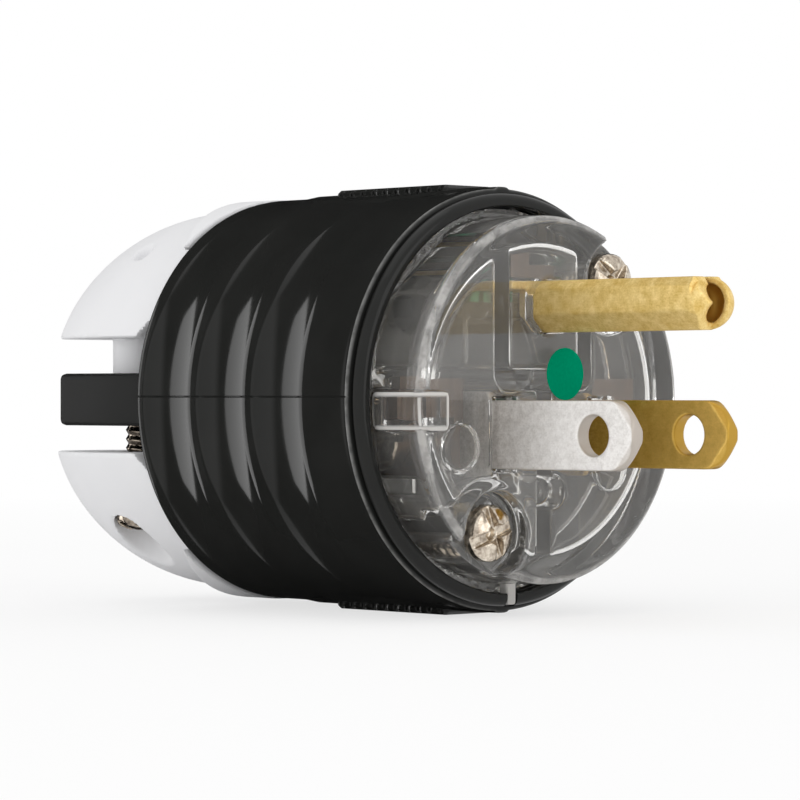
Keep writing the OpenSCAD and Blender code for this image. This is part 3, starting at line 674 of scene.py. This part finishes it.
def frontField(x, y, z):
    f = front
    soft = f["soft"]
    rho = np.hypot(y, z)
    nose = both(both(rho - f["noseR"], x, f["noseEdge"]), f["noseBack"] - x)
    flange = both(rho - f["flangeR"], span(x, *f["flange"]), 0.2)
    skirt = both(rho - f["skirtR"], span(x, *f["skirt"]), soft)
    body = either(either(nose, flange, 0.2), skirt)
    keyX, keyHalf, keyZ = f["key"]
    body = either(body, slab(slab(span(x, *keyX), span(y, -keyHalf, keyHalf), 0.2), span(z, *keyZ), 0.2))
    bay = both(rho - f["bayR"], x + f["plate"], f["bayEdge"])
    walls = slab(span(y, -f["ribHalf"], f["ribHalf"]), f["bayFloor"] - z, f["ribCorner"])
    ground = slab(span(y, -f["bayHalf"], f["bayHalf"]), f["groundFloor"] - z, 0.8)
    ribs = either(walls, both(np.abs(y) - f["rib"], z - f["bayFloor"] - 0.5), 0.5)
    for cy, cz in screwSpots.values():
        ribs = either(ribs, rod(y, z, cy, cz, f["bossR"]), soft)
        ribs = either(ribs, both(rod(y, z, cy, cz, f["columnR"]), f["columnEnd"] - x, soft), soft)
    py, pz, pegR, pegEnd = f["peg"]
    ribs = either(ribs, both(rod(y, z, py, pz, pegR), pegEnd - x, 0.6), 0.3)
    hollow = either(less(bay, ribs, soft), both(bay, ground, soft))
    for cy, cz, r in f["rings"]:
        hollow = either(hollow, both(rod(y, z, cy, cz, r), span(x, f["slotBack"], f["ringTop"]), 0.25), 0.1)
    body = less(body, hollow, 0.2)
    turnAt, flatAt, flatX = f["sideFlat"]
    lean = math.radians(turnAt)
    body = less(body, both(flatAt - y * math.cos(lean) - z * math.sin(lean), span(x, *flatX)), 0.15)
    lug = slab(slab(span(x, *f["lugX"]), span(z, *f["lugZ"]), f["lugEdge"]), y - f["lugIn"], f["lugEdge"])
    body = either(body, both(lug, rho - f["lugR"], f["lugEdge"]), 0.15)
    ht, hh = f["slotHalf"]
    for side in (-1, 1):
        slot = slab(span(y, side * f["bladeY"] - ht, side * f["bladeY"] + ht),
                    span(z, f["bladeZ"] - hh, f["bladeZ"] + hh), 0.1)
        body = less(body, both(slot, f["slotBack"] - x), 0.12)
        wide, tall, deep = f["recess"]
        around = slab(span(y, side * f["bladeY"] - wide, side * f["bladeY"] + wide),
                      span(z, f["bladeZ"] - tall, f["bladeZ"] + tall), 0.2)
        body = less(body, both(around, -deep - x, 0.15), 0.2)
    body = less(body, both(octagon(y, z - f["groundZ"], f["groundSlot"]), f["slotBack"] - x), 0.18)
    for cy, cz in screwSpots.values():
        body = less(body, both(rod(y, z, cy, cz, f["pocketR"]), -f["pocketDepth"] - x, 0.5), 0.5)
        body = less(body, rod(y, z, cy, cz, f["holeR"]), 0.15)
    return body


frontShape = skin(frontField, *front["box"], front["step"])
setPiece("frontBody", frontShape, "clear_body", "plug_body", ["front_body"], **skinned)


# The flat blades, with bevelled tips and eased holes
blade = {
    "half": 0.76, "len": 16.7, "h": 3.175, "tipR": 3.0, "hole": (11.9, 1.86), "holeCoin": 0.1,
    "root": -4.0, "bevel": 0.9, "bevelStart": -0.35, "bevelLean": 40, "bevelFrom": 9,
    "term": (-17.25, -2.35), "termHalf": 4.0, "termCorner": 0.6, "termHole": (-10.8, 1.83), "edge": 0.16,
    "box": ((-17.7, -7.6, -7.8), (17.2, -5.1, 1.4)), "step": 0.15,
}


def bladeField(x, y, z):
    b = blade
    u = y + front["bladeY"]
    w = np.abs(z - front["bladeZ"])
    tip = slab(span(x, b["root"], b["len"]), w - b["h"], b["tipR"])
    term = slab(span(x, *b["term"]), w - b["termHalf"], b["termCorner"])
    outline = either(tip, term, 0.3)
    lean = math.radians(b["bevelLean"])
    h = (x - b["len"] + b["bevelStart"]) * math.cos(lean) + w * math.sin(lean)
    faceGap = np.abs(u) - b["half"]
    bevel = (faceGap + b["bevel"] * h) / math.hypot(1, b["bevel"])
    thick = np.where(x > b["bevelFrom"], np.maximum(faceGap, bevel), faceGap)
    body = both(outline, thick, b["edge"])
    hole = rod(x, z, b["hole"][0], front["bladeZ"], b["hole"][1])
    coin = (hole - faceGap - b["holeCoin"]) * math.sqrt(0.5)
    body = less(body, either(hole, coin, 0.1), 0.08)
    return less(body, rod(x, z, b["termHole"][0], front["bladeZ"], b["termHole"][1]), 0.15)


bladeShape = skin(bladeField, *blade["box"], blade["step"])
setPiece("neutralBlade", bladeShape, "nickel_plate", "plug_body", ["neutral_blade"], **skinned)
setPiece("hotBlade", flipped(bladeShape, 1), "brass", "plug_body", ["hot_blade"],
         material=hotBrassShaded, **skinned)


# The grounding pin, folded from strip, with a hollow nose and an open near wall
pin = {
    "z": 8.7, "half": 2.4, "wall": 0.8, "nose": 19.3, "seam": 0.2,
    "lip": 20.75, "lipTurn": 33, "lipCut": 0.15, "cornerSoft": 0.12,
    "upperCorner": 4.0, "lowerCorner": 3.15, "scoop": (1.75, 0.35, 18.2), "boreEnd": 17.2, "facet": 19.6,
    "plate": ((-17.25, -2.35), 4.45, (10.3, 11.1)), "tubeEnd": -3.15, "holeX": -10.8, "holeR": 1.83,
    "edge": 0.12, "box": ((-17.6, -4.8, 5.9), (22.1, 4.8, 11.6)), "step": 0.14,
}


# The pin's cut: flat sides, small upper corners and large lower ones
def pinOutline(y, v, grow):
    a = np.abs(y)
    flat = np.maximum(a, np.abs(v)) - pin["half"] - grow
    upper = (a + v - pin["upperCorner"]) * math.sqrt(0.5) - grow
    lower = (a - v - pin["lowerCorner"]) * math.sqrt(0.5) - grow
    return both(both(flat, upper, pin["cornerSoft"]), lower, pin["cornerSoft"])


def pinField(x, y, z):
    p = pin
    v = z - p["z"]
    core = pinOutline(y, v, 0)
    reach = np.maximum(x - p["nose"], 0)
    ball = np.sqrt(reach ** 2 + y ** 2 + v ** 2) - p["half"]
    body = both(both(core, p["tubeEnd"] - x), np.where(x > p["nose"], ball, -1.0))
    scoopR, scoopY, scoopX = p["scoop"]
    inner = np.hypot(y, v) - (p["half"] - p["wall"])
    dome = np.sqrt(reach ** 2 + (y - scoopY) ** 2 + v ** 2) - scoopR
    bore = either(both(inner, x - p["boreEnd"], 0.4), both(dome, scoopX - x, 0.9))
    body = less(body, bore, 0.1)
    body = both(body, (x - p["facet"] - y - p["half"]) * math.sqrt(0.5))
    lean = math.radians(p["lipTurn"])
    lipX = (x - p["lip"]) * math.cos(lean) + np.abs(v) * math.sin(lean)
    body = less(body, both(-lipX, y - p["lipCut"], 0.1), p["edge"])
    body = less(body, both(np.abs(y) - p["seam"], -v), 0.12)
    plateX, plateHalf, plateZ = p["plate"]
    plate = slab(slab(span(x, *plateX), span(y, -plateHalf, plateHalf), 0.6), span(z, *plateZ), 0.15)
    plate = less(plate, rod(x, y, p["holeX"], 0, p["holeR"]), 0.15)
    return either(body, plate, 0.2)


pinShape = skin(pinField, *pin["box"], pin["step"])
setPiece("groundPin", pinShape, "brass", "plug_body", ["ground_pin"], material=pinBrass, **skinned)


# Screws along +X: a rounded head with a cross recess and a threaded shank
screws = {
    "assembly": (2.65, 2.1, 0.5, 1.75, 25.6), "clamp": (2.65, 2.2, 0.5, 1.75, 18.6), "seat": -2.0,
    "turns": {
        "lower_assembly_screw": 0.35, "upper_assembly_screw": 0.9,
        "near_clamp_screw": 0.2, "far_clamp_screw": 0.8},
    "clampSpot": (-45.7, 12.09, -11.0), "domeBack": 2.6, "domeSoft": 0.35, "footSoft": 0.15,
    "slotFloor": 0.5, "cupFloor": 0.25, "cupR": 1.15, "cupLean": 0.5, "headStep": 0.11, "room": 0.3,
}
thread = {
    "pitch": 0.9, "depth": 0.28, "rowsEach": 7, "around": 28, "fadeEnd": 1.2, "fadeHead": 0.6,
    "taper": 0.3, "taperLen": 0.5, "lap": 0.02,
}


def screwHead(headR, headH, slotHalf, turnAngle):
    def field(x, y, z):
        c, s = math.cos(turnAngle), math.sin(turnAngle)
        u, v = y * c + z * s, z * c - y * s
        rho = np.hypot(y, z)
        k = screws
        dome = np.sqrt((x + k["domeBack"]) ** 2 + rho ** 2) - (k["domeBack"] + headH)
        head = both(both(rho - headR, dome, k["domeSoft"]), -x, k["footSoft"])
        depth = headH * k["slotFloor"] - x
        slots = either(both(np.abs(u) - slotHalf, depth, 0.1), both(np.abs(v) - slotHalf, depth, 0.1))
        cup = np.maximum(rho - k["cupR"] - (x - headH) * k["cupLean"], k["cupFloor"] * headH - x)
        slots = either(slots, cup, 0.1)
        return less(head, slots, 0.12)
    wide = headR + screws["room"]
    return skin(field, (-screws["room"], -wide, -wide), (headH + 0.4, wide, wide), screws["headStep"])


def threadedShank(r, length):
    t = thread
    turns = t["around"]
    points = []
    faces = []
    rows = int(length / (t["pitch"] / t["rowsEach"]))
    for i in range(rows + 1):
        x = -length * i / rows
        ease = max(min(1, (length + x) / t["fadeEnd"], -x / t["fadeHead"]), 0)
        taper = t["taper"] * max(0, 1 - (length + x) / t["taperLen"])
        for k in range(turns):
            a = 2 * math.pi * k / turns
            wave = abs(((x / t["pitch"] + k / turns) % 1) * 2 - 1)
            rr = r - t["depth"] * wave * ease - taper
            points.append((x + t["lap"], rr * math.cos(a), rr * math.sin(a)))
    for i in range(rows):
        for k in range(turns):
            m = (k + 1) % turns
            faces.append((i * turns + k, (i + 1) * turns + k, (i + 1) * turns + m, i * turns + m))
    faces.append(tuple(range(turns)))
    faces.append(tuple(reversed(range(rows * turns, (rows + 1) * turns))))
    return points, faces


def moved(shape, offset, down=False):
    if down:
        return [(offset[0] + p[1], offset[1] - p[2], offset[2] - p[0]) for p in shape[0]], shape[1]
    return [tuple(c + o for c, o in zip(p, offset)) for p in shape[0]], shape[1]


for name, (cy, cz) in screwSpots.items():
    headR, headH, slotHalf, shankR, length = screws["assembly"]
    shape = together(screwHead(headR, headH, slotHalf, screws["turns"][name]), threadedShank(shankR, length))
    side = name.split("_")[0]
    setPiece(side + "AssemblyScrew", moved(shape, (screws["seat"], cy, cz)), "screw_steel", "plug_body",
             [name], **skinned)

# The clamp screws take the darker plate, which is painted shade
for where, side in (("near", -1), ("far", 1)):
    name = where + "_clamp_screw"
    headR, headH, slotHalf, shankR, length = screws["clamp"]
    shape = together(screwHead(headR, headH, slotHalf, screws["turns"][name]), threadedShank(shankR, length))
    cx, cy, cz = screws["clampSpot"]
    setPiece(where + "ClampScrew", moved(shape, (cx, side * cy, cz), True), "screw_steel", "lower_clamp",
             [name], material=clampScrewPlate, **skinned)


# The white jaws of the cord clamp
jaw = {
    "r": 19.1, "front": -37.7, "bend": -44.5, "domeR": 22.0, "tail": -56.4, "tailEdge": 0.7,
    "saddleR": 20.1, "saddleFoot": 14.5, "saddleLean": 0.857, "corner": 2.0, "edge": 0.35,
    "upper": 6.1, "lower": 5.2, "skin": 2.6, "channel": 9.0, "tooth": 1.0, "toothPitch": 4.675,
    "column": 3.01, "columnFoot": 0.6, "columnRise": 1.5, "insertHole": 2.41, "insertTop": 6.6,
    "boreTop": 12.6, "sight": 1.0, "sightFloor": 13.9, "soft": 0.3, "frontSoft": 0.25,
    "seat": 11.0, "headHole": 2.85, "screwHole": 1.95, "pillar": 3.45, "step": 0.28,
    "upperBox": ((-57.0, -20.6, 0.0), (-35.7, 20.6, 20.7)),
    "lowerBox": ((-57.0, -20.6, 4.6), (-35.7, 20.6, 20.7)),
}


def jawField(edgeZ, isUpper):
    def field(x, y, z):
        j = jaw
        rho = np.hypot(y, z)
        dome = np.hypot(x - j["bend"], rho - j["r"] + j["domeR"]) - j["domeR"]
        rounded = np.where(x < j["bend"], dome, rho - j["r"])
        outside = both(both(rounded, j["tail"] - x, j["tailEdge"]), x - j["front"], j["frontSoft"])
        lean = (j["front"] - j["saddleLean"] * (z - j["saddleFoot"]) - x) / math.hypot(1, j["saddleLean"])
        saddle = both(both(rho - j["saddleR"], lean, j["soft"]), x - j["front"], j["frontSoft"])
        body = either(outside, saddle, j["frontSoft"])
        body = both(body, edgeZ - z, j["edge"])
        cornerCut = (edgeZ + j["corner"] + x - j["front"] - z) * math.sqrt(0.5)
        body = both(body, cornerCut, 0.2)
        wave = np.abs(((j["front"] - x) / j["toothPitch"]) % 1 * 2 - 1)
        body = less(body, rho - j["channel"] + j["tooth"] * (1 - wave), j["edge"])
        hollow = both(rounded + j["skin"], j["tail"] + j["skin"] - x, j["soft"])
        hollow = both(hollow, j["channel"] + j["skin"] - rho, j["soft"])
        hollow = both(hollow, edgeZ + j["skin"] - z, j["soft"])
        cx, cy, _ = screws["clampSpot"]

        def bore(key):
            return rod(x, np.abs(y), cx, cy, j[key])

        body = less(body, less(hollow, bore("pillar"), j["soft"]), 0.2)
        if isUpper:
            stem = both(bore("column"), span(z, j["columnFoot"], edgeZ + j["columnRise"]), 0.12)
            body = either(body, stem, 0.2)
            body = less(body, both(bore("insertHole"), z - j["insertTop"]), 0.1)
            body = less(body, both(bore("screwHole"), z - j["boreTop"]), 0.1)
            return less(body, both(bore("sight"), j["sightFloor"] - z, 0.2), j["soft"])
        body = less(body, bore("screwHole"), 0.1)
        return less(body, both(bore("headHole"), j["seat"] - z, 0.1), j["soft"])
    return field


upperShape = skin(jawField(jaw["upper"], True), *jaw["upperBox"], jaw["step"])
setPiece("upperJaw", upperShape, "white_jaw", "upper_clamp", ["upper_jaw"], **skinned)
lowerShape = skin(jawField(jaw["lower"], False), *jaw["lowerBox"], jaw["step"])
setPiece("lowerJaw", flipped(lowerShape, 2), "white_jaw", "lower_clamp", ["lower_jaw"], **skinned)


# The green dot printed on the face
dot = {
    "spot": (1.54, 2.43), "r": 2.45, "thick": 0.05, "sunk": -0.02, "core": 0.01, "edge": 0.06, "steps": 64,
}
dotShape = turn([(dot["sunk"], dot["core"]), (dot["sunk"], dot["r"]), (dot["thick"] * 0.6, dot["r"]),
                 (dot["thick"], dot["r"] - dot["edge"]), (dot["thick"], dot["core"])],
                dot["steps"], dot["spot"])
setPiece("greenDot", dotShape, None, "plug_body", sharp=40, material=dotInk)


# Nodes kept from the frame take the finishes of their slots
keptNodes = {part["node"]: part["material_slot"] for part in frame["record"]["subparts"]}
for name, slot in keptNodes.items():
    node = frame["nodes"][name]
    node.data.materials.clear()
    node.data.materials.append(finishes[slot])
print("frame nodes finished")


# Stage: pale floor, white surround, soft lamps and the camera
stage = {
    "floorZ": -20.5, "floorHalf": 3000, "ambient": 0.8, "floorWhite": (0.7, 1.0), "floorFade": (60, 420),
    "paper": ((0.93, 0.93, 0.93), (0.95, 0.95, 0.95)), "paperGrain": 40, "paperRough": 0.9, "paperShine": 0.1,
    "aim": (-15, 0, 0),
}


# Share of white that camera, mirror and clear-body rays see
def seenShare(tree, share):
    rays = tree.nodes.new("ShaderNodeLightPath")
    kinds = ("Camera", "Glossy", "Transmission")
    camera, glossy, through = (Flow(tree, rays.outputs[f"Is {k} Ray"]) for k in kinds)
    total = camera + glossy + through
    return total.maths("MINIMUM", total, 1.0) * share


def makeFloor():
    half = stage["floorHalf"] * mm
    z = stage["floorZ"] * mm
    mesh = bpy.data.meshes.new("floor")
    corners = [(-half, -half, z), (half, -half, z), (half, half, z), (-half, half, z)]
    mesh.from_pydata(corners, [], [(0, 1, 2, 3)])
    material = bpy.data.materials.new("paleFloor")
    material.use_nodes = True
    tree = material.node_tree
    flow = Flow(tree)
    paper = tree.nodes["Principled BSDF"]
    paper.inputs["Roughness"].default_value = stage["paperRough"]
    paper.inputs["Specular IOR Level"].default_value = stage["paperShine"]
    fibres = grain(flow, spot(flow), stage["paperGrain"], 2)
    flow.feed(paper.inputs["Base Color"], tinted(flow, fibres, *stage["paper"]))
    white = flow.node("ShaderNodeEmission", {}, {"Color": (1, 1, 1, 1), "Strength": 1.0})
    away = flow.node("ShaderNodeVectorMath", {"operation": "LENGTH"}, {0: spot(flow)}, "Value")
    near, far = (d * mm for d in stage["floorFade"])
    share = seenShare(tree, ramped(flow, away, near, far, *stage["floorWhite"]))
    mixed = flow.node("ShaderNodeMixShader", {}, {0: share, 1: Flow(tree, paper.outputs[0]), 2: white})
    flow.feed(tree.nodes["Material Output"].inputs["Surface"], mixed)
    mesh.materials.append(material)
    floor = bpy.data.objects.new("floor", mesh)
    bpy.context.scene.collection.objects.link(floor)
    floor.visible_glossy = False


# A dark studio card behind the cord clamp, for reflections only
card = {
    "x": -950, "y": (-1110, 1700), "z": (-1200, 1200), "fade": (-1110, -912), "tone": (0.01, 0.01, 0.01, 1),
}


def makeCard():
    (y0, y1), (z0, z1) = card["y"], card["z"]
    mesh = bpy.data.meshes.new("darkCard")
    corners = [(card["x"] * mm, y * mm, z * mm) for y, z in ((y0, z0), (y1, z0), (y1, z1), (y0, z1))]
    mesh.from_pydata(corners, [], [(0, 1, 2, 3)])
    material = bpy.data.materials.new("darkCard")
    material.use_nodes = True
    tree = material.node_tree
    flow = Flow(tree)
    shader = tree.nodes["Principled BSDF"]
    shader.inputs["Base Color"].default_value = card["tone"]
    shader.inputs["Specular IOR Level"].default_value = 0.0
    across = flow.node("ShaderNodeSeparateXYZ", {}, {0: spot(flow)}, "Y")
    faded = ramped(flow, across, *(y * mm for y in card["fade"]), 1.0, 0.0)
    through = flow.node("ShaderNodeBsdfTransparent", {}, {"Color": (1, 1, 1, 1)})
    mixed = flow.node("ShaderNodeMixShader", {}, {0: faded, 1: Flow(tree, shader.outputs[0]), 2: through})
    flow.feed(tree.nodes["Material Output"].inputs["Surface"], mixed)
    mesh.materials.append(material)
    holder = bpy.data.objects.new("darkCard", mesh)
    bpy.context.scene.collection.objects.link(holder)
    holder.visible_camera = holder.visible_diffuse = False
    holder.visible_shadow = holder.visible_transmission = False


# A bright card in front of it, part of a disc, also for reflections only
glow = {"x": -925, "y": -20, "r": 705, "farSide": -230, "cut": 540, "radiance": 3.3, "corners": 96}


def makeGlow():
    turns = [2 * math.pi * i / glow["corners"] for i in range(glow["corners"])]
    cut = glow["cut"]
    corners = [(glow["x"] * mm, min(glow["y"] + glow["r"] * math.cos(a), glow["farSide"]) * mm,
                min(max(glow["r"] * math.sin(a), -cut), cut) * mm) for a in turns]
    mesh = bpy.data.meshes.new("brightCard")
    mesh.from_pydata(corners, [], [tuple(range(len(corners)))])
    material = bpy.data.materials.new("brightCard")
    material.use_nodes = True
    tree = material.node_tree
    flow = Flow(tree)
    white = flow.node("ShaderNodeEmission", {}, {"Color": (1, 1, 1, 1), "Strength": glow["radiance"]})
    flow.feed(tree.nodes["Material Output"].inputs["Surface"], white)
    mesh.materials.append(material)
    holder = bpy.data.objects.new("brightCard", mesh)
    bpy.context.scene.collection.objects.link(holder)
    holder.visible_camera = holder.visible_diffuse = holder.visible_shadow = False


def makeWorld():
    world = bpy.data.worlds.new("studio")
    bpy.context.scene.world = world
    world.use_nodes = True
    tree = world.node_tree
    flow = Flow(tree)
    white = flow.node("ShaderNodeBackground", {}, {"Color": (1, 1, 1, 1), "Strength": 1.0})
    soft = flow.node("ShaderNodeBackground", {}, {"Color": (1, 1, 1, 1), "Strength": stage["ambient"]})
    mixed = flow.node("ShaderNodeMixShader", {}, {0: seenShare(tree, 1.0), 1: soft, 2: white})
    flow.feed(tree.nodes["World Output"].inputs["Surface"], mixed)


lamps = {
    "topBox": {"at": (-10, -60, 420), "size": (360, 360), "radiance": 0.55, "shines": True},
    "frontBox": {"at": (420, 60, 120), "size": (300, 360), "radiance": 1.2, "shines": True},
    "fillBox": {"at": (-160, -420, 20), "size": (420, 240), "radiance": 1.3, "shines": False},
}


def makeLamps():
    for name, lamp in lamps.items():
        light = bpy.data.lights.new(name, "AREA")
        light.shape = "RECTANGLE"
        light.size, light.size_y = (s * mm for s in lamp["size"])
        light.energy = lamp["radiance"] * math.pi * light.size * light.size_y
        holder = bpy.data.objects.new(name, light)
        bpy.context.scene.collection.objects.link(holder)
        holder.location = [c * mm for c in lamp["at"]]
        holder.visible_camera = False
        holder.visible_glossy = lamp["shines"]
        aim = Vector([c * mm for c in stage["aim"]]) - holder.location
        holder.rotation_euler = aim.to_track_quat("-Z", "Y").to_euler()


view = {
    "at": (240.87, -245.78, 0.61), "back": (0.7291, -0.6844, 0.0018), "lens": 165.57,
    "sensor": 36, "clip": (0.01, 20),
}


def makeCamera():
    camera = bpy.data.cameras.new("camera")
    camera.lens = view["lens"]
    camera.sensor_width = view["sensor"]
    camera.clip_start, camera.clip_end = view["clip"]
    holder = bpy.data.objects.new("camera", camera)
    bpy.context.scene.collection.objects.link(holder)
    holder.location = [c * mm for c in view["at"]]
    holder.rotation_euler = Vector(view["back"]).to_track_quat("Z", "Y").to_euler()
    bpy.context.scene.camera = holder


makeFloor()
makeCard()
makeGlow()
makeWorld()
makeLamps()
makeCamera()
bpy.context.scene.view_settings.view_transform = "Standard"
print("stage set")

bpy.context.view_layer.update()
